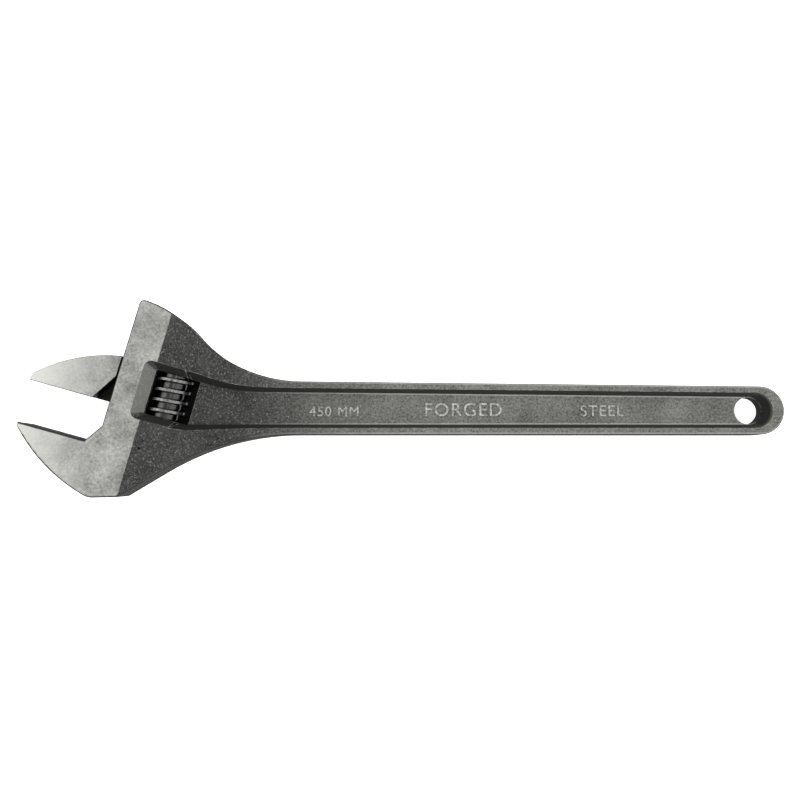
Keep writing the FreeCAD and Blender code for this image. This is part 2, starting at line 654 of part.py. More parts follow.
def make_adjusting_knurl():
    """Worm with a right-handed thread, a bore for its pin and a pocket for its spring."""
    x, y = head_point(KNURL_ALONG, WINDOW_MIDDLE)
    body = new_body("adjusting_knurl", x, y, turned=True)
    outer = "(Sizes.knurl_diameter / 2)"
    inner = "(Sizes.pin_diameter / 2 + Sizes.pin_running)"
    pocket = "(Sizes.spring_pocket / 2)"
    low = "(-Sizes.knurl_length / 2)"
    high = "(Sizes.knurl_length / 2)"
    bevel = "Sizes.knurl_bevel"
    blank = new_sketch(body, "blank")
    draw_outline(blank, [
        (inner, low), (f"({outer} - {bevel})", low), (outer, f"({low} + {bevel})"),
        (outer, f"({high} - {bevel})"), (f"({outer} - {bevel})", high), (pocket, high),
        (pocket, f"({high} - Sizes.spring_pocket_depth)"),
        (inner, f"({high} - Sizes.spring_pocket_depth)"),
    ])
    turn_about(body, "Revolution", "turned_blank", blank)

    groove = new_sketch(body, "thread_groove")
    root = f"({outer} - Sizes.thread_depth - Sizes.mesh_clearance)"
    spare = "0.5"
    outside = f"({outer} + {spare})"
    slope = "tan(Sizes.thread_flank * 1 deg)"
    at_crest = "((Sizes.thread_pitch - Sizes.thread_crest) / 2)"
    wide = f"({at_crest} + {spare} * {slope})"
    narrow = f"({at_crest} - (Sizes.thread_depth + Sizes.mesh_clearance) * {slope})"
    turns = f"(2 * ceil(Sizes.knurl_length / Sizes.thread_pitch / 2 + 1.5) + 1)"
    start = f"(Sizes.thread_place - {turns} * Sizes.thread_pitch / 2)"
    draw_outline(groove, [
        (f"(-{root})", f"({start} - {narrow})"),
        (f"(-{root})", f"({start} + {narrow})"),
        (f"(-{outside})", f"({start} + {wide})"),
        (f"(-{outside})", f"({start} - {wide})"),
    ])
    thread = body.newObject("PartDesign::SubtractiveHelix", "thread")
    thread.Profile = groove
    thread.ReferenceAxis = (groove, ["V_Axis"])
    thread.Mode = "pitch-height-angle"
    thread.setExpression("Pitch", "Sizes.thread_pitch")
    thread.setExpression("Height", f"{turns} * Sizes.thread_pitch")
    thread.LeftHanded = False
    doc.recompute()
    return body


def make_knurl_pin():
    """Pin that the knurl turns on, with a slotted cheese head at the edge of the head."""
    x, y = head_point(KNURL_ALONG, "0")
    body = new_body("knurl_pin", x, y, turned=True)
    radius = "(Sizes.pin_diameter / 2)"
    head_radius = "(Sizes.pin_head_diameter / 2)"
    bevel = "Sizes.pin_bevel"
    head_bevel = "Sizes.pin_head_bevel"
    low = f"({WINDOW_BOTTOM} - Sizes.pin_hold)"
    seat = f"({WINDOW_TOP} + Sizes.pin_wall)"
    high = f"({seat} + Sizes.pin_head_height)"
    profile = new_sketch(body, "profile")
    draw_outline(profile, [
        ("0", low), (f"({radius} - {bevel})", low), (radius, f"({low} + {bevel})"), (radius, seat),
        (head_radius, seat), (head_radius, f"({high} - {head_bevel})"),
        (f"({head_radius} - {head_bevel})", high), ("0", high),
    ])
    turn_about(body, "Revolution", "turned_pin", profile)
    slot = new_sketch(body, "driver_slot")
    draw_box(slot, "(-Sizes.slot_width / 2)", f"({high} - Sizes.slot_depth)",
             "(Sizes.slot_width / 2)", f"({high} + 1)")
    extrude(body, "Pocket", "driver_slot_cut", slot, "(Sizes.pin_head_diameter * 2)")
    return body


def make_knurl_spring():
    """Compression spring in the knurl's pocket, between its floor and the window's wall."""
    pocket_floor = f"({WINDOW_MIDDLE} + Sizes.knurl_length / 2 - Sizes.spring_pocket_depth)"
    x, y = head_point(KNURL_ALONG, f"{pocket_floor} + Sizes.spring_end_gap")
    body = new_body("knurl_spring", x, y, turned=True)
    room = "(Sizes.spring_pocket_depth + Sizes.window_gap - 2 * Sizes.spring_end_gap)"
    wire = new_sketch(body, "wire")
    draw_circle(wire, "(Sizes.spring_coil / 2)", "(Sizes.spring_wire / 2)", "(Sizes.spring_wire / 2)")
    coil = body.newObject("PartDesign::AdditiveHelix", "coil")
    coil.Profile = wire
    coil.ReferenceAxis = (wire, ["V_Axis"])
    coil.Mode = "pitch-height-angle"
    rise = f"({room} - Sizes.spring_wire)"
    coil.setExpression("Pitch", f"{rise} / Sizes.spring_turns")
    coil.setExpression("Height", rise)
    doc.recompute()
    return body


def check_and_write(bodies):
    """Stop on any failed object or bad shape, then write one STEP file to a node."""
    doc.recompute()
    for item in doc.Objects:
        if "Invalid" in item.State or "Error" in item.State:
            raise RuntimeError(f"{item.Name} failed: {item.State}")
    os.makedirs("parts", exist_ok=True)
    for body in bodies:
        shape = body.Shape
        if shape.isNull() or not shape.isValid() or len(shape.Solids) != 1:
            raise RuntimeError(f"{body.Label} has a bad shape")
        shape.exportStep(f"parts/{body.Label}.step")
        print(f"{body.Label}: {shape.Volume / 1000:.2f} cm3")


check_and_write([
    make_wrench_body(),
    make_sliding_jaw(),
    make_adjusting_knurl(),
    make_knurl_pin(),
    make_knurl_spring(),
])
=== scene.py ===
import json
import math

import bmesh
import bpy
from bpy.props import FloatProperty, PointerProperty, StringProperty
from bpy.types import Operator, Panel, PropertyGroup
from mathutils import Matrix, Vector


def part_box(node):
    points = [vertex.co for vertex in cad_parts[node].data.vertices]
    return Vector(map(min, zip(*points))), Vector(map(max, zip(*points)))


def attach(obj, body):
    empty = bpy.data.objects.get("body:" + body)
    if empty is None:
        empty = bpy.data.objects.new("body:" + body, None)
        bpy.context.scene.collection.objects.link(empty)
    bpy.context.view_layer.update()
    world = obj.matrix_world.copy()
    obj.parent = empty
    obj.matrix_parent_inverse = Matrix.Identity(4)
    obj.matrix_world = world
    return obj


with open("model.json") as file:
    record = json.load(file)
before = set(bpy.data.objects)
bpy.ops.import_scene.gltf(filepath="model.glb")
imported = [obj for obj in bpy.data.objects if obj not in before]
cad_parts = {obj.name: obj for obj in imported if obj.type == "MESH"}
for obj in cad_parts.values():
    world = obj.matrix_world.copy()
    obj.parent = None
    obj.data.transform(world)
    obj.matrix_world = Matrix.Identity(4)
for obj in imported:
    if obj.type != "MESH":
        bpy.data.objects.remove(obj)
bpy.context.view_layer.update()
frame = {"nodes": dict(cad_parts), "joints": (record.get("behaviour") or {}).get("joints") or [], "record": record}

bl_info = {
    "name": "Adjustable wrench finish",
    "version": (1, 0, 0),
    "blender": (4, 5, 0),
    "location": "3D View > Sidebar > Wrench",
    "description": "Finishes, raised marks and studio stage for an adjustable wrench",
    "category": "Object",
}

MM = 0.001

# The head has axes of its own: ACROSS is the way the sliding jaw opens, ALONG runs from the jaw
# tips back to the handle, and ROOT is the inner corner of the fixed jaw's face.
JOINTS = {joint["name"]: joint for joint in frame["joints"]}
MOUNTS = {mount["name"]: mount for mount in frame["record"]["mounts"]}
ACROSS = Vector(JOINTS["jaw_slide"]["axis"])
ALONG = Vector((ACROSS.y, -ACROSS.x, 0))
MOUNT_SETBACK = -20 * MM
ROOT = Vector(MOUNTS["fixed_jaw_face"]["pos_m"]) - ALONG * MOUNT_SETBACK
HOLE = Vector(MOUNTS["hang_hole"]["pos_m"])
WEB_TOP = HOLE.z + MOUNTS["hang_hole"]["dims"]["length_mm"] * MM / 2
KNURL_POINT = Vector(JOINTS["knurl_turn"]["pos_m"])
KNURL_AXIS = Vector(JOINTS["knurl_turn"]["axis"])
BODY_LOW, BODY_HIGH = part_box("wrench_body")
MIDDLE_Z = (BODY_LOW.z + BODY_HIGH.z) / 2

# Fixed tones, as sRGB hex values
OIL_STAIN = "#484846"
FORGED_GLINT = "#787874"
RUBBED_EDGE_AND_HIGHLIGHT = "#A0A09C"
THUMB_SLOPE_HIGHLIGHT = "#70706D"
PIT_BLACK = "#0C0C0C"
LETTER_HOLLOW = "#666663"
LETTER_PEAK = "#9E9E9A"
NECK_OXIDE_AND_SHADE = "#131312"
GRIPPING_FACE = "#5C5C59"
KNURL_OXIDE = "#1E1E1D"
KNURL_CREST = "#6E6E6B"
PIN_BRIGHT = "#4A4A48"
PIN_DARK = "#2B2B2A"
WIRE_BRIGHT = "#A0A09C"
WIRE_DARK = "#6C6C69"
PAPER_WHITE = "#F6F6F4"
SHADE_CARD_BLACK = "#0A0A0A"
LAMP_WHITE = "#FFFFFF"

# Where one finish gives way to the next. The worn steel and painted highlight of the jaw tips are measured behind
# ROOT,
# HANDLE_SKIN along X, END_WALL past the hang hole, and RIM and PLATE away from the tool's middle plane.
WEAR_AND_HIGHLIGHT_START = 8 * MM
WEAR_AND_HIGHLIGHT_FULL = -50 * MM
HANDLE_SKIN_START = -100 * MM
HANDLE_SKIN_FULL = -10 * MM
HANDLE_SKIN_SHARE = 0.6
END_WALL_START = 2 * MM
END_WALL_FULL = 6 * MM
RIM_START = 8.6 * MM
RIM_FULL = 7.8 * MM
PLATE_START = 11.6 * MM
PLATE_FULL = 12.0 * MM
BAND_EDGE = 0.5 * MM
CREST_DEPTH = 0.7 * MM
CREST_TOP = 0.05 * MM

# Shares of a surface's normal that point up or down, from 0 on a side to 1 on a flat face
LEVEL_START = 0.86
LEVEL_FULL = 0.98
ROUNDED_START = 0.995
ROUNDED_FULL = 0.93
STEEP_START = 0.8
STEEP_FULL = 0.7

# Range of the noise that makes the forged grain
GRAIN_LOW = 0.34
GRAIN_HIGH = 0.66

SCALE_GLOSS = 0.1
SCALE_ROUGHNESS = 0.8
PIN_FEED = 0.25 * MM
WIRE_FEED = 0.15 * MM

# Two old pits in the head and a nick in the handle's edge: place and size in millimetres
PITS = (((-155.7, -28.9, 26), 0.8),
        ((-153.4, -24.7, 26), 0.5),
        ((-92.1, 11.1, 24), 0.9))

# Raised marks: name, words, left end and scale
MARKS = (("size_mark", "450 MM", -56 * MM, 0.88),
         ("process_mark", "FORGED", 13 * MM, 1.2),
         ("metal_mark", "STEEL", 107 * MM, 1.0))
MARK_BASE = -9.4 * MM
CAPITAL_SHARE = 0.7
LETTER_SPACING = 1.12
LETTER_SOFTNESS = 0.16 * MM
LETTER_SUNK = 0.3 * MM
MERGE_DISTANCE = 0.001 * MM

# Stage: two flat sheets, the light panels (name, place, width and watts) and the camera
FLOOR_REACH = 3.0
FLOOR_HEIGHT = -0.1 * MM
FLOOR_GLOW = 0.65
CARD_REACH = 17 * MM
CARD_HEIGHT = -0.05 * MM
PANELS = (("left_panel", Vector((-0.8, 0.1, 0.95)), 0.6, 1.3),
          ("top_panel", Vector((0.16, 0.15, 1.2)), 0.3, 2.0))
PANEL_AIM = Vector((-0.05, 0, 0))
SENSOR_WIDTH = 36.0
LENS = 41.7
CAMERA_TILT = math.radians(4.61)
CAMERA_DISTANCE = 0.55
CAMERA_AIM = Vector((-1.4 * MM, -0.4 * MM, BODY_HIGH.z))


class WrenchSizes(PropertyGroup):
    """Sizes of the finishes and of the raised marks."""

    ground_depth: FloatProperty(
        name="Ground band", description="Depth of the ground part of the head's flat faces",
        default=28.3 * MM, unit="LENGTH")
    grain: FloatProperty(
        name="Forged grain", description="Width of the pits and peaks of the forged skin",
        default=1.3 * MM, unit="LENGTH")
    letter_height: FloatProperty(
        name="Letter height", description="Height of the raised capitals on the web",
        default=6.6 * MM, unit="LENGTH")
    letter_rise: FloatProperty(
        name="Letter rise", description="How far the raised letters stand off the web",
        default=0.7 * MM, unit="LENGTH")


class WrenchColours(PropertyGroup):
    """Colours of the finishes, as sRGB hex values."""

    forged_dark: StringProperty(
        name="Forged, dark", description="Black oxide in the hollows of the forged skin",
        default="#242423")
    forged_light: StringProperty(
        name="Forged, light", description="Black oxide on the peaks of the forged skin",
        default="#434341")
    handle_dark: StringProperty(
        name="Handle, dark", description="Hollows of the handle's skin, rubbed by the hand",
        default="#4A4A48")
    handle_light: StringProperty(
        name="Handle, light", description="Peaks of the handle's skin, rubbed by the hand",
        default="#93938F")
    # painted shade: the handle's recess walls are darker than its skin
    handle_wall_shade: StringProperty(
        name="Handle walls", description="Walls of the handle's recess", default="#2F2F2E")
    # painted shade over the oxide: upright sides and the recess's end are darker than the skin
    side: StringProperty(
        name="Sides", description="Black oxide on the upright sides", default="#1B1B1A")
    ground_dark: StringProperty(
        name="Ground, dark", description="Oiled patches of the ground faces", default="#595957")
    ground_light: StringProperty(
        name="Ground, light", description="Clean patches of the ground faces", default="#A0A09C")
    # worn bare steel on edges, and a painted highlight that brightens the jaw tips
    worn_and_highlight: StringProperty(
        name="Worn", description="Bare steel at the jaw tips and on worn edges", default="#B4B4B0")
    knurl: StringProperty(
        name="Knurl", description="Oiled black oxide of the worm", default="#0E0E0E")


def linear(colour):
    """Turn an sRGB hex colour into linear red, green, blue and alpha."""
    parts = [int(colour[i:i + 2], 16) / 255 for i in (1, 3, 5)]
    return [p / 12.92 if p <= 0.04045 else ((p + 0.055) / 1.055) ** 2.4 for p in parts] + [1.0]


def add_node(tree, kind, links=None, **settings):
    """Add one node, give it its settings, and set or link its inputs."""
    node = tree.nodes.new(kind)
    for name, value in settings.items():
        setattr(node, name, value)
    for name, value in (links or {}).items():
        if isinstance(value, bpy.types.NodeSocket):
            tree.links.new(value, node.inputs[name])
        else:
            node.inputs[name].default_value = value
    return node


def new_finish(name):
    """Start a metal finish: its material, node tree, shader, and object coordinates and normal."""
    material = bpy.data.materials.new(name)
    material.use_nodes = True
    tree = material.node_tree
    shader = tree.nodes["Principled BSDF"]
    shader.inputs["Metallic"].default_value = 1.0
    where = add_node(tree, "ShaderNodeTexCoord")
    return material, tree, shader, where.outputs["Object"], where.outputs["Normal"]


def patches(tree, place, size, low=0.4, high=0.6, detail=2.0):
    """Soft random patches about one size across, from 0 to 1."""
    noise = add_node(tree, "ShaderNodeTexNoise",
                     {"Vector": place, "Scale": 1 / size, "Detail": detail, "Roughness": 0.6})
    return add_node(tree, "ShaderNodeMapRange",
                    {"Value": noise.outputs["Fac"], "From Min": low, "From Max": high}).outputs[0]


def along_head(tree, place):
    """Distance of a point behind the fixed jaw's inner corner, in the head's axes."""
    dot = add_node(tree, "ShaderNodeVectorMath", {0: place, 1: ALONG}, operation="DOT_PRODUCT")
    return add_node(tree, "ShaderNodeMath", {0: dot.outputs["Value"], 1: ROOT.dot(ALONG)},
                    operation="SUBTRACT").outputs[0]


def levelness(tree, normal):
    """How far a surface faces up or down, from 0 on a side to 1 on a flat face."""
    split = add_node(tree, "ShaderNodeSeparateXYZ", {0: normal})
    return add_node(tree, "ShaderNodeMath", {0: split.outputs["Z"]}, operation="ABSOLUTE").outputs[0]


def off_middle(tree, split):
    """Distance of a point above or below the tool's middle plane."""
    height = add_node(tree, "ShaderNodeMath", {0: split.outputs["Z"], 1: MIDDLE_Z},
                      operation="SUBTRACT")
    return add_node(tree, "ShaderNodeMath", {0: height.outputs[0]}, operation="ABSOLUTE").outputs[0]


def edge_mask(tree, radius, start, end):
    """Where the surface turns within a radius, as at an edge."""
    rounded = add_node(tree, "ShaderNodeBevel", {"Radius": radius}, samples=4)
    surface = add_node(tree, "ShaderNodeNewGeometry")
    same = add_node(tree, "ShaderNodeVectorMath",
                    {0: rounded.outputs["Normal"], 1: surface.outputs["Normal"]},
                    operation="DOT_PRODUCT")
    return add_node(tree, "ShaderNodeMapRange",
                    {"Value": same.outputs["Value"], "From Min": start, "From Max": end}).outputs[0]


def ground_colour(tree, place, colours):
    """Ground steel: soft oiled patches, fine grey specks, and brighter towards the jaw tips, partly worn and
    partly a painted highlight.
    """
    broad = patches(tree, place, 16 * MM, 0.35, 0.65, 4.0)
    specks = patches(tree, place, 1.5 * MM, 0.38, 0.62, 5.0)
    mottle = add_node(tree, "ShaderNodeMix", {0: 0.42, 2: broad, 3: specks})
    steel = add_node(tree, "ShaderNodeMix",
                     {0: mottle.outputs[0], 6: linear(colours.ground_dark),
                      7: linear(colours.ground_light)}, data_type="RGBA")
    spots = add_node(tree, "ShaderNodeMath",
                     {0: patches(tree, place, 4 * MM, 0.5, 0.75, 3.0), 1: specks},
                     operation="MULTIPLY")
    stained = add_node(tree, "ShaderNodeMix",
                       {0: spots.outputs[0], 6: steel.outputs[2], 7: linear(OIL_STAIN)},
                       data_type="RGBA")
    # painted highlight with some wear: the ground steel brightens towards the jaw tips
    wear_and_highlight = add_node(tree, "ShaderNodeMapRange",
                    {"Value": along_head(tree, place), "From Min": WEAR_AND_HIGHLIGHT_START,
                     "From Max": WEAR_AND_HIGHLIGHT_FULL})
    return add_node(tree, "ShaderNodeMix",
                    {0: wear_and_highlight.outputs[0], 6: stained.outputs[2], 7: linear(colours.worn_and_highlight)},
                    data_type="RGBA").outputs[2]


def forged_finish(name, sizes, colours):
    """Drop-forged alloy steel, shot blasted and black oxided: dark, with a fine sparkling grain.

    On the flat faces of the head the grain is ground away, back to a straight line.
    """
    material, tree, shader, place, normal = new_finish(name)
    grain = patches(tree, place, sizes.grain, GRAIN_LOW, GRAIN_HIGH, 3.0)
    fine = patches(tree, place, sizes.grain * 0.45, GRAIN_LOW, GRAIN_HIGH, 2.0)
    glints = patches(tree, place, sizes.grain * 0.7, 0.52, 0.72, 2.0)
    broad = patches(tree, place, 20 * MM, 0.3, 0.7, 3.0)
    flatness = levelness(tree, normal)
    split = add_node(tree, "ShaderNodeSeparateXYZ", {0: place})

    # skin: dark hollows and light peaks, lighter along the handle
    skin_tone = add_node(tree, "ShaderNodeMix", {0: 0.6, 2: broad, 3: grain})
    skin = add_node(tree, "ShaderNodeMix",
                    {0: skin_tone.outputs[0], 6: linear(colours.forged_dark),
                     7: linear(colours.forged_light)}, data_type="RGBA")
    handled = add_node(tree, "ShaderNodeMapRange",
                       {"Value": split.outputs["X"], "From Min": HANDLE_SKIN_START,
                        "From Max": HANDLE_SKIN_FULL, "To Max": HANDLE_SKIN_SHARE})
    handle_skin = add_node(tree, "ShaderNodeMix",
                           {0: skin_tone.outputs[0], 6: linear(colours.handle_dark),
                            7: linear(colours.handle_light)}, data_type="RGBA")
    skin = add_node(tree, "ShaderNodeMix",
                    {0: handled.outputs[0], 6: skin.outputs[2], 7: handle_skin.outputs[2]},
                    data_type="RGBA")
    # painted glints: light specks on the grain's peaks stand in for the sparkle of the shot-blasted skin
    peaks = add_node(tree, "ShaderNodeMath", {0: grain, 1: glints}, operation="MULTIPLY")
    skin = add_node(tree, "ShaderNodeMix",
                    {0: peaks.outputs[0], 6: skin.outputs[2], 7: linear(FORGED_GLINT)},
                    data_type="RGBA")

    # rounded edges and fillets of the handle get a thin light line: partly rubbed wear, partly painted highlight
    rounded = add_node(tree, "ShaderNodeMapRange",
                       {"Value": flatness, "From Min": ROUNDED_START, "From Max": ROUNDED_FULL})
    rubbed = add_node(tree, "ShaderNodeMath", {0: rounded.outputs[0], 1: handled.outputs[0]},
                      operation="MULTIPLY")
    skin = add_node(tree, "ShaderNodeMix",
                    {0: rubbed.outputs[0], 6: skin.outputs[2], 7: linear(RUBBED_EDGE_AND_HIGHLIGHT)},
                    data_type="RGBA")

    # painted shade: upright walls and the sloped end of the recess are painted darker than the skin, over their
    # oxide
    from_middle = off_middle(tree, split)
    past_hole = add_node(tree, "ShaderNodeMapRange",
                         {"Value": split.outputs["X"], "From Min": HOLE.x + END_WALL_START,
                          "From Max": HOLE.x + END_WALL_FULL})
    under_rim = add_node(tree, "ShaderNodeMapRange",
                         {"Value": from_middle, "From Min": RIM_START, "From Max": RIM_FULL})
    end_wall = add_node(tree, "ShaderNodeMath", {0: past_hole.outputs[0], 1: under_rim.outputs[0]},
                        operation="MULTIPLY")
    steep = add_node(tree, "ShaderNodeMapRange",
                     {"Value": flatness, "From Min": STEEP_START, "From Max": STEEP_FULL})
    wall = add_node(tree, "ShaderNodeMix",
                    {0: handled.outputs[0], 6: linear(colours.side), 7: linear(colours.handle_wall_shade)},
                    data_type="RGBA")
    skin = add_node(tree, "ShaderNodeMix",
                    {0: steep.outputs[0], 6: skin.outputs[2], 7: wall.outputs[2]},
                    data_type="RGBA")
    skin = add_node(tree, "ShaderNodeMix",
                    {0: end_wall.outputs[0], 6: skin.outputs[2], 7: linear(colours.side)},
                    data_type="RGBA")

    # painted highlight: the thumb's slope ahead of the knurl, facing along the head, is painted lighter than the
    # skin
    facing = add_node(tree, "ShaderNodeVectorMath", {0: normal, 1: ALONG}, operation="DOT_PRODUCT")
    slope_highlight = add_node(tree, "ShaderNodeMapRange",
                       {"Value": facing.outputs["Value"], "From Min": 0.4, "From Max": 0.5,
                        "To Max": 0.75})
    sloping = add_node(tree, "ShaderNodeMapRange",
                       {"Value": flatness, "From Min": STEEP_FULL, "From Max": STEEP_START})
    slope_highlight = add_node(tree, "ShaderNodeMath", {0: slope_highlight.outputs[0], 1: sloping.outputs[0]},
                       operation="MULTIPLY")
    skin = add_node(tree, "ShaderNodeMix",
                    {0: slope_highlight.outputs[0], 6: skin.outputs[2], 7: linear(THUMB_SLOPE_HIGHLIGHT)},
                    data_type="RGBA")

    # ground band, its edge broken by the grain
    jitter = add_node(tree, "ShaderNodeMath", {0: grain, 1: BAND_EDGE}, operation="MULTIPLY")
    along = add_node(tree, "ShaderNodeMath", {0: along_head(tree, place), 1: jitter.outputs[0]},
                     operation="ADD")
    band = add_node(tree, "ShaderNodeMapRange",
                    {"Value": along.outputs[0], "From Min": sizes.ground_depth + BAND_EDGE,
                     "From Max": sizes.ground_depth})
    level = add_node(tree, "ShaderNodeMapRange",
                     {"Value": flatness, "From Min": LEVEL_START, "From Max": LEVEL_FULL})
    ground = add_node(tree, "ShaderNodeMath", {0: band.outputs[0], 1: level.outputs[0]},
                      operation="MULTIPLY").outputs[0]
    colour = add_node(tree, "ShaderNodeMix",
                      {0: ground, 6: skin.outputs[2], 7: ground_colour(tree, place, colours)},
                      data_type="RGBA")

    # edges rubbed through the oxide here and there
    bare = add_node(tree, "ShaderNodeMath",
                    {0: edge_mask(tree, 0.6 * MM, 0.97, 0.86), 1: patches(tree, place, 4 * MM, 0.4, 0.7)},
                    operation="MULTIPLY")
    bare = add_node(tree, "ShaderNodeMath", {0: bare.outputs[0], 1: 0.7}, operation="MULTIPLY")
    colour = add_node(tree, "ShaderNodeMix",
                      {0: bare.outputs[0], 6: colour.outputs[2], 7: linear(colours.worn_and_highlight)},
                      data_type="RGBA")

    # old pits and a nick
    for spot, width in PITS:
        size = width * MM
        gap = add_node(tree, "ShaderNodeVectorMath", {0: place, 1: Vector(spot) * MM},
                       operation="DISTANCE")
        pit = add_node(tree, "ShaderNodeMapRange",
                       {"Value": gap.outputs["Value"], "From Min": size * 1.3, "From Max": size * 0.6})
        colour = add_node(tree, "ShaderNodeMix",
                          {0: pit.outputs[0], 6: colour.outputs[2], 7: linear(PIT_BLACK)},
                          data_type="RGBA")
    tree.links.new(colour.outputs[2], shader.inputs["Base Color"])

    # the thick dull scale on the walls is no bare metal
    bare_metal = add_node(tree, "ShaderNodeMath", {0: 1.0, 1: steep.outputs[0]}, operation="SUBTRACT")
    tree.links.new(bare_metal.outputs[0], shader.inputs["Metallic"])
    shader.inputs["Specular IOR Level"].default_value = SCALE_GLOSS
    sheen = add_node(tree, "ShaderNodeMix", {0: ground, 2: 0.52, 3: 0.38})
    uneven = add_node(tree, "ShaderNodeMath",
                      {0: sheen.outputs[0], 1: patches(tree, place, 3 * MM, 0.0, 8.0)},
                      operation="ADD")
    rough = add_node(tree, "ShaderNodeMix", {0: steep.outputs[0], 2: uneven.outputs[0], 3: SCALE_ROUGHNESS})
    tree.links.new(rough.outputs[0], shader.inputs["Roughness"])

    relief = add_node(tree, "ShaderNodeMix", {0: 0.35, 2: grain, 3: fine})
    strength = add_node(tree, "ShaderNodeMix", {0: ground, 2: 0.9, 3: 0.1})
    bump = add_node(tree, "ShaderNodeBump",
                    {"Height": relief.outputs[0], "Strength": strength.outputs[0],
                     "Distance": 0.25 * MM})
    tree.links.new(bump.outputs["Normal"], shader.inputs["Normal"])
    return material


def letter_finish(name, sizes):
    """Tops of the forged letters: rubbed through the oxide to grey steel, mottled by the grain."""
    material, tree, shader, place, _ = new_finish(name)
    grain = patches(tree, place, sizes.grain, GRAIN_LOW, GRAIN_HIGH, 3.0)
    colour = add_node(tree, "ShaderNodeMix",
                      {0: grain, 6: linear(LETTER_HOLLOW), 7: linear(LETTER_PEAK)}, data_type="RGBA")
    tree.links.new(colour.outputs[2], shader.inputs["Base Color"])
    shader.inputs["Roughness"].default_value = 0.42
    bump = add_node(tree, "ShaderNodeBump",
                    {"Height": grain, "Strength": 0.4, "Distance": 0.2 * MM})
    tree.links.new(bump.outputs["Normal"], shader.inputs["Normal"])
    return material


def jaw_finish(name, colours):
    """Surface-ground jaw: satin steel on the jaw itself, black oxide with painted shade on its neck and rack bar.
    """
    material, tree, shader, place, normal = new_finish(name)
    split = add_node(tree, "ShaderNodeSeparateXYZ", {0: place})
    from_middle = off_middle(tree, split)
    plate = add_node(tree, "ShaderNodeMapRange",
                     {"Value": from_middle, "From Min": PLATE_START, "From Max": PLATE_FULL})
    level = add_node(tree, "ShaderNodeMapRange",
                     {"Value": levelness(tree, normal), "From Min": LEVEL_START, "From Max": LEVEL_FULL})
    ground = add_node(tree, "ShaderNodeMath", {0: plate.outputs[0], 1: level.outputs[0]},
                      operation="MULTIPLY").outputs[0]
    grain = patches(tree, place, 0.8 * MM, 0.3, 0.7, 3.0)
    # painted shade over the oxide: the neck and rack bar, lying below the jaw's plate, are near black
    oxide = add_node(tree, "ShaderNodeMix",
                     {0: grain, 6: linear(NECK_OXIDE_AND_SHADE), 7: linear(colours.side)}, data_type="RGBA")
    facing = add_node(tree, "ShaderNodeVectorMath", {0: normal, 1: ACROSS}, operation="DOT_PRODUCT")
    gripping = add_node(tree, "ShaderNodeMapRange",
                        {"Value": facing.outputs["Value"], "From Min": -0.98, "From Max": -0.999})
    oxide = add_node(tree, "ShaderNodeMix",
                     {0: gripping.outputs[0], 6: oxide.outputs[2], 7: linear(GRIPPING_FACE)},
                     data_type="RGBA")
    colour = add_node(tree, "ShaderNodeMix",
                      {0: ground, 6: oxide.outputs[2], 7: ground_colour(tree, place, colours)},
                      data_type="RGBA")
    tree.links.new(colour.outputs[2], shader.inputs["Base Color"])
    rough = add_node(tree, "ShaderNodeMix", {0: ground, 2: 0.5, 3: 0.36})
    tree.links.new(rough.outputs[0], shader.inputs["Roughness"])
    bump = add_node(tree, "ShaderNodeBump",
                    {"Height": grain, "Strength": 0.08, "Distance": 0.12 * MM})
    tree.links.new(bump.outputs["Normal"], shader.inputs["Normal"])
    return material


def screw_finish(name, colours):
    """Turned steel worm, black oxided and oiled: glossy black, rubbed grey on the crests."""
    material, tree, shader, place, _ = new_finish(name)
    low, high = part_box("adjusting_knurl")
    radius = (high.z - low.z) / 2
    offset = add_node(tree, "ShaderNodeVectorMath", {0: place, 1: KNURL_POINT}, operation="SUBTRACT")
    arm = add_node(tree, "ShaderNodeVectorMath", {0: offset.outputs[0], 1: KNURL_AXIS},
                   operation="CROSS_PRODUCT")
    reach = add_node(tree, "ShaderNodeVectorMath", {0: arm.outputs[0]}, operation="LENGTH")
    crest = add_node(tree, "ShaderNodeMapRange",
                     {"Value": reach.outputs["Value"], "From Min": radius - CREST_DEPTH,
                      "From Max": radius - CREST_TOP}).outputs[0]
    rubbed = add_node(tree, "ShaderNodeMath", {0: crest, 1: patches(tree, place, 1.4 * MM, 0.25, 0.6)},
                      operation="MULTIPLY")
    oxide = add_node(tree, "ShaderNodeMix",
                     {0: patches(tree, place, 1.0 * MM), 6: linear(colours.knurl),
                      7: linear(KNURL_OXIDE)}, data_type="RGBA")
    colour = add_node(tree, "ShaderNodeMix",
                      {0: rubbed.outputs[0], 6: oxide.outputs[2], 7: linear(KNURL_CREST)},
                      data_type="RGBA")
    tree.links.new(colour.outputs[2], shader.inputs["Base Color"])
    rough = add_node(tree, "ShaderNodeMix", {0: crest, 2: 0.22, 3: 0.38})
    tree.links.new(rough.outputs[0], shader.inputs["Roughness"])
    shader.inputs["Coat Weight"].default_value = 1.0
    shader.inputs["Coat Roughness"].default_value = 0.12
    bump = add_node(tree, "ShaderNodeBump",
                    {"Height": patches(tree, place, 0.7 * MM, 0.3, 0.7), "Strength": 0.15,
                     "Distance": 0.1 * MM})
    tree.links.new(bump.outputs["Normal"], shader.inputs["Normal"])
    return material


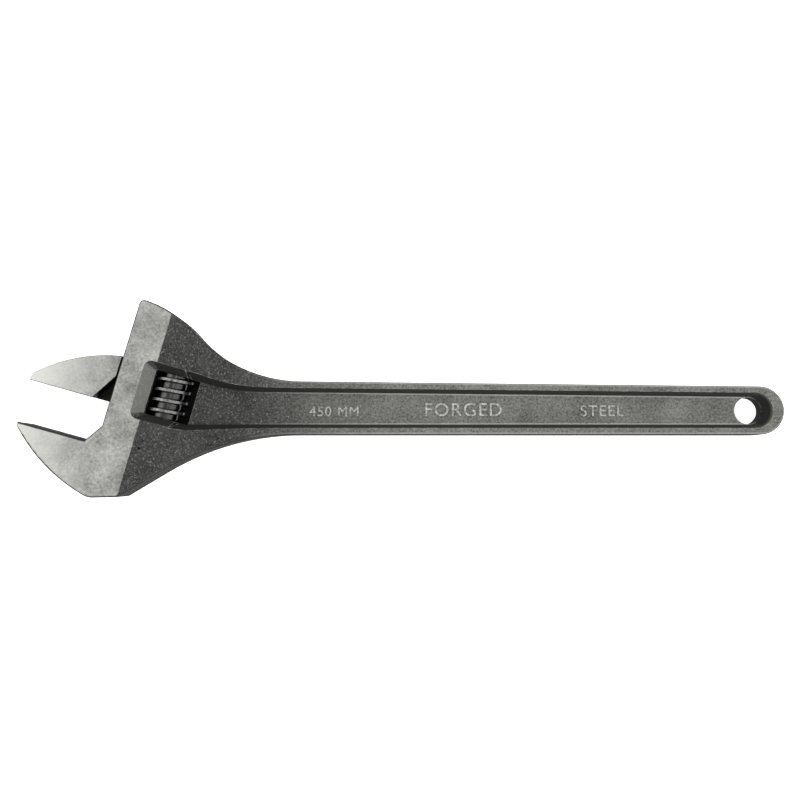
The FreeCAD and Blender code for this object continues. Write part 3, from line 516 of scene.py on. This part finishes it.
def turned_finish(name, bright, dark, pitch):
    """Turned or drawn steel: fine rings square to the knurl's axis, at the tool's feed."""
    material, tree, shader, place, _ = new_finish(name)
    dot = add_node(tree, "ShaderNodeVectorMath", {0: place, 1: KNURL_AXIS}, operation="DOT_PRODUCT")
    turns = add_node(tree, "ShaderNodeMath", {0: dot.outputs["Value"], 1: 2 * math.pi / pitch},
                     operation="MULTIPLY")
    rings = add_node(tree, "ShaderNodeMath", {0: turns.outputs[0]}, operation="SINE")
    colour = add_node(tree, "ShaderNodeMix",
                      {0: patches(tree, place, 2 * MM, 0.35, 0.65), 6: linear(dark), 7: linear(bright)},
                      data_type="RGBA")
    tree.links.new(colour.outputs[2], shader.inputs["Base Color"])
    shader.inputs["Roughness"].default_value = 0.33
    bump = add_node(tree, "ShaderNodeBump",
                    {"Height": rings.outputs[0], "Strength": 0.2, "Distance": 0.02 * MM})
    tree.links.new(bump.outputs["Normal"], shader.inputs["Normal"])
    return material


def dress(node, material):
    """Give a CAD node its finish."""
    slots = frame["nodes"][node].data.materials
    slots.clear()
    slots.append(material)


def raised_mark(name, words, left, base, height, rise, material):
    """Raised letters on the web: font outlines made into closed, soft-edged solids."""
    curve = bpy.data.curves.new(name + "_outline", "FONT")
    curve.body = words
    curve.size = height / CAPITAL_SHARE
    curve.space_character = LETTER_SPACING
    curve.extrude = (rise + LETTER_SUNK) / 2 - LETTER_SOFTNESS
    curve.bevel_depth = LETTER_SOFTNESS
    curve.bevel_resolution = 2
    curve.offset = -LETTER_SOFTNESS * 0.5
    drawn = bpy.data.objects.new(name + "_drawn", curve)
    bpy.context.scene.collection.objects.link(drawn)
    bpy.context.view_layer.update()
    mesh = bpy.data.meshes.new_from_object(drawn.evaluated_get(bpy.context.evaluated_depsgraph_get()))
    bpy.data.objects.remove(drawn)
    bpy.data.curves.remove(curve)
    mesh.name = name
    mesh.transform(Matrix.Translation((left, base, WEB_TOP + (rise - LETTER_SUNK) / 2)))
    solid = bmesh.new()
    solid.from_mesh(mesh)
    bmesh.ops.remove_doubles(solid, verts=solid.verts, dist=MERGE_DISTANCE)
    bmesh.ops.recalc_face_normals(solid, faces=solid.faces)
    solid.to_mesh(mesh)
    solid.free()
    mesh.materials.clear()
    mesh.materials.append(material)
    mark = bpy.data.objects.new(name, mesh)
    bpy.context.scene.collection.objects.link(mark)
    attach(mark, "forging")
    return mark


def flat_sheet(name, reach, turn, place, material):
    """A flat square of the stage, turned about its middle and laid at a place."""
    mesh = bpy.data.meshes.new(name)
    square = bmesh.new()
    bmesh.ops.create_grid(square, x_segments=1, y_segments=1, size=reach)
    bmesh.ops.rotate(square, verts=square.verts, cent=(0, 0, 0),
                     matrix=Matrix.Rotation(turn, 3, "Z"))
    square.to_mesh(mesh)
    square.free()
    mesh.transform(Matrix.Translation(place))
    mesh.materials.append(material)
    sheet = bpy.data.objects.new(name, mesh)
    bpy.context.scene.collection.objects.link(sheet)
    return sheet


def matte_finish(name, colour, roughness):
    """Start a matte material of the stage, such as paper or felt."""
    material = bpy.data.materials.new(name)
    material.use_nodes = True
    shader = material.node_tree.nodes["Principled BSDF"]
    shader.inputs["Base Color"].default_value = linear(colour)
    shader.inputs["Roughness"].default_value = roughness
    return material, shader


class WRENCH_OT_finish_forging(Operator):
    """Give the forged body its black oxide skin and ground faces"""

    bl_idname = "wrench.finish_forging"
    bl_label = "Finish the Forging"

    def execute(self, context):
        dress("wrench_body", forged_finish("black_oxide_forging", context.scene.wrench_sizes,
                                           context.scene.wrench_colours))
        return {"FINISHED"}


class WRENCH_OT_finish_jaw(Operator):
    """Give the sliding jaw its ground faces"""

    bl_idname = "wrench.finish_jaw"
    bl_label = "Finish the Sliding Jaw"

    def execute(self, context):
        dress("sliding_jaw", jaw_finish("ground_jaw_steel", context.scene.wrench_colours))
        return {"FINISHED"}


class WRENCH_OT_finish_knurl(Operator):
    """Give the knurl, its pin and its spring their turned and drawn finishes"""

    bl_idname = "wrench.finish_knurl"
    bl_label = "Finish the Knurl"

    def execute(self, context):
        dress("adjusting_knurl", screw_finish("oiled_black_screw", context.scene.wrench_colours))
        dress("knurl_pin", turned_finish("turned_black_pin", PIN_BRIGHT, PIN_DARK, PIN_FEED))
        dress("knurl_spring", turned_finish("drawn_spring_wire", WIRE_BRIGHT, WIRE_DARK, WIRE_FEED))
        return {"FINISHED"}


class WRENCH_OT_add_marks(Operator):
    """Add the raised size and process marks to the web"""

    bl_idname = "wrench.add_marks"
    bl_label = "Add Raised Marks"

    def execute(self, context):
        sizes = context.scene.wrench_sizes
        material = letter_finish("rubbed_letters", sizes)
        for name, words, left, scale in MARKS:
            raised_mark(name, words, left, MARK_BASE, sizes.letter_height * scale,
                        sizes.letter_rise, material)
        return {"FINISHED"}


class WRENCH_OT_build_stage(Operator):
    """Add the pale floor, the soft lights and the camera"""

    bl_idname = "wrench.build_stage"
    bl_label = "Build the Stage"

    def execute(self, context):
        scene = context.scene
        scene.view_settings.view_transform = "Standard"

        paper, sheen = matte_finish("pale_paper", PAPER_WHITE, 0.9)
        # lit from below like a light table, which lifts the shadows
        sheen.inputs["Emission Color"].default_value = linear(LAMP_WHITE)
        sheen.inputs["Emission Strength"].default_value = FLOOR_GLOW
        floor = flat_sheet("floor", FLOOR_REACH, 0.0, (0, 0, FLOOR_HEIGHT), paper)

        # painted shade: a black card under the knurl's window keeps the gap behind the knurl dark
        felt, _ = matte_finish("shade_card_felt", SHADE_CARD_BLACK, 1.0)
        card = flat_sheet("shade_card", CARD_REACH, math.atan2(ALONG.y, ALONG.x),
                          (KNURL_POINT.x, KNURL_POINT.y, CARD_HEIGHT), felt)

        world = bpy.data.worlds.new("soft_studio")
        scene.world = world
        world.use_nodes = True
        tree = world.node_tree
        where = add_node(tree, "ShaderNodeTexCoord")
        split = add_node(tree, "ShaderNodeSeparateXYZ", {0: where.outputs["Generated"]})
        # brightest at middle heights, so that flat faces stay grey and rounded edges catch light
        near_top = add_node(tree, "ShaderNodeMapRange",
                            {"Value": split.outputs["Z"], "From Min": 0.8, "From Max": 0.95,
                             "To Min": 2.0, "To Max": 0.9})
        near_floor = add_node(tree, "ShaderNodeMapRange",
                              {"Value": split.outputs["Z"], "From Min": 0.0, "From Max": 0.3,
                               "To Min": 0.5, "To Max": 1.0})
        glow = add_node(tree, "ShaderNodeMath",
                        {0: near_top.outputs[0], 1: near_floor.outputs[0]}, operation="MULTIPLY")
        sky = tree.nodes["Background"]
        sky.inputs["Color"].default_value = linear(LAMP_WHITE)
        tree.links.new(glow.outputs[0], sky.inputs["Strength"])

        for name, place, width, power in PANELS:
            light = bpy.data.lights.new(name, "AREA")
            light.shape = "SQUARE"
            light.size = width
            light.energy = power
            lamp = bpy.data.objects.new(name, light)
            lamp.location = place
            aim = PANEL_AIM - place
            lamp.rotation_euler = aim.to_track_quat("-Z", "Y").to_euler()
            scene.collection.objects.link(lamp)

        camera = bpy.data.cameras.new("camera")
        camera.sensor_width = SENSOR_WIDTH
        camera.lens = LENS
        view = bpy.data.objects.new("camera", camera)
        back = Vector((0, -math.sin(CAMERA_TILT), math.cos(CAMERA_TILT)))
        view.location = CAMERA_AIM + back * CAMERA_DISTANCE
        view.rotation_euler = (CAMERA_TILT, 0, 0)
        scene.collection.objects.link(view)
        scene.camera = view
        return {"FINISHED"}


class WRENCH_PT_sidebar(Panel):
    """Lists the sizes, the colours and the steps"""

    bl_idname = "WRENCH_PT_sidebar"
    bl_label = "Adjustable Wrench"
    bl_space_type = "VIEW_3D"
    bl_region_type = "UI"
    bl_category = "Wrench"

    def draw(self, context):
        for group in (context.scene.wrench_sizes, context.scene.wrench_colours):
            for name in group.__annotations__:
                self.layout.prop(group, name)
        for operator in OPERATORS:
            self.layout.operator(operator.bl_idname)


OPERATORS = (WRENCH_OT_finish_forging, WRENCH_OT_finish_jaw, WRENCH_OT_finish_knurl,
             WRENCH_OT_add_marks, WRENCH_OT_build_stage)
CLASSES = (WrenchSizes, WrenchColours) + OPERATORS + (WRENCH_PT_sidebar,)


def register():
    """Register the classes and attach the settings to the scene."""
    for cls in CLASSES:
        bpy.utils.register_class(cls)
    bpy.types.Scene.wrench_sizes = PointerProperty(type=WrenchSizes)
    bpy.types.Scene.wrench_colours = PointerProperty(type=WrenchColours)


def unregister():
    """Take the settings off the scene and remove the classes."""
    del bpy.types.Scene.wrench_colours
    del bpy.types.Scene.wrench_sizes
    for cls in reversed(CLASSES):
        bpy.utils.unregister_class(cls)


def main():
    register()
    bpy.ops.wrench.finish_forging()
    bpy.ops.wrench.finish_jaw()
    bpy.ops.wrench.finish_knurl()
    bpy.ops.wrench.add_marks()
    bpy.ops.wrench.build_stage()


if __name__ == "__main__":
    main()
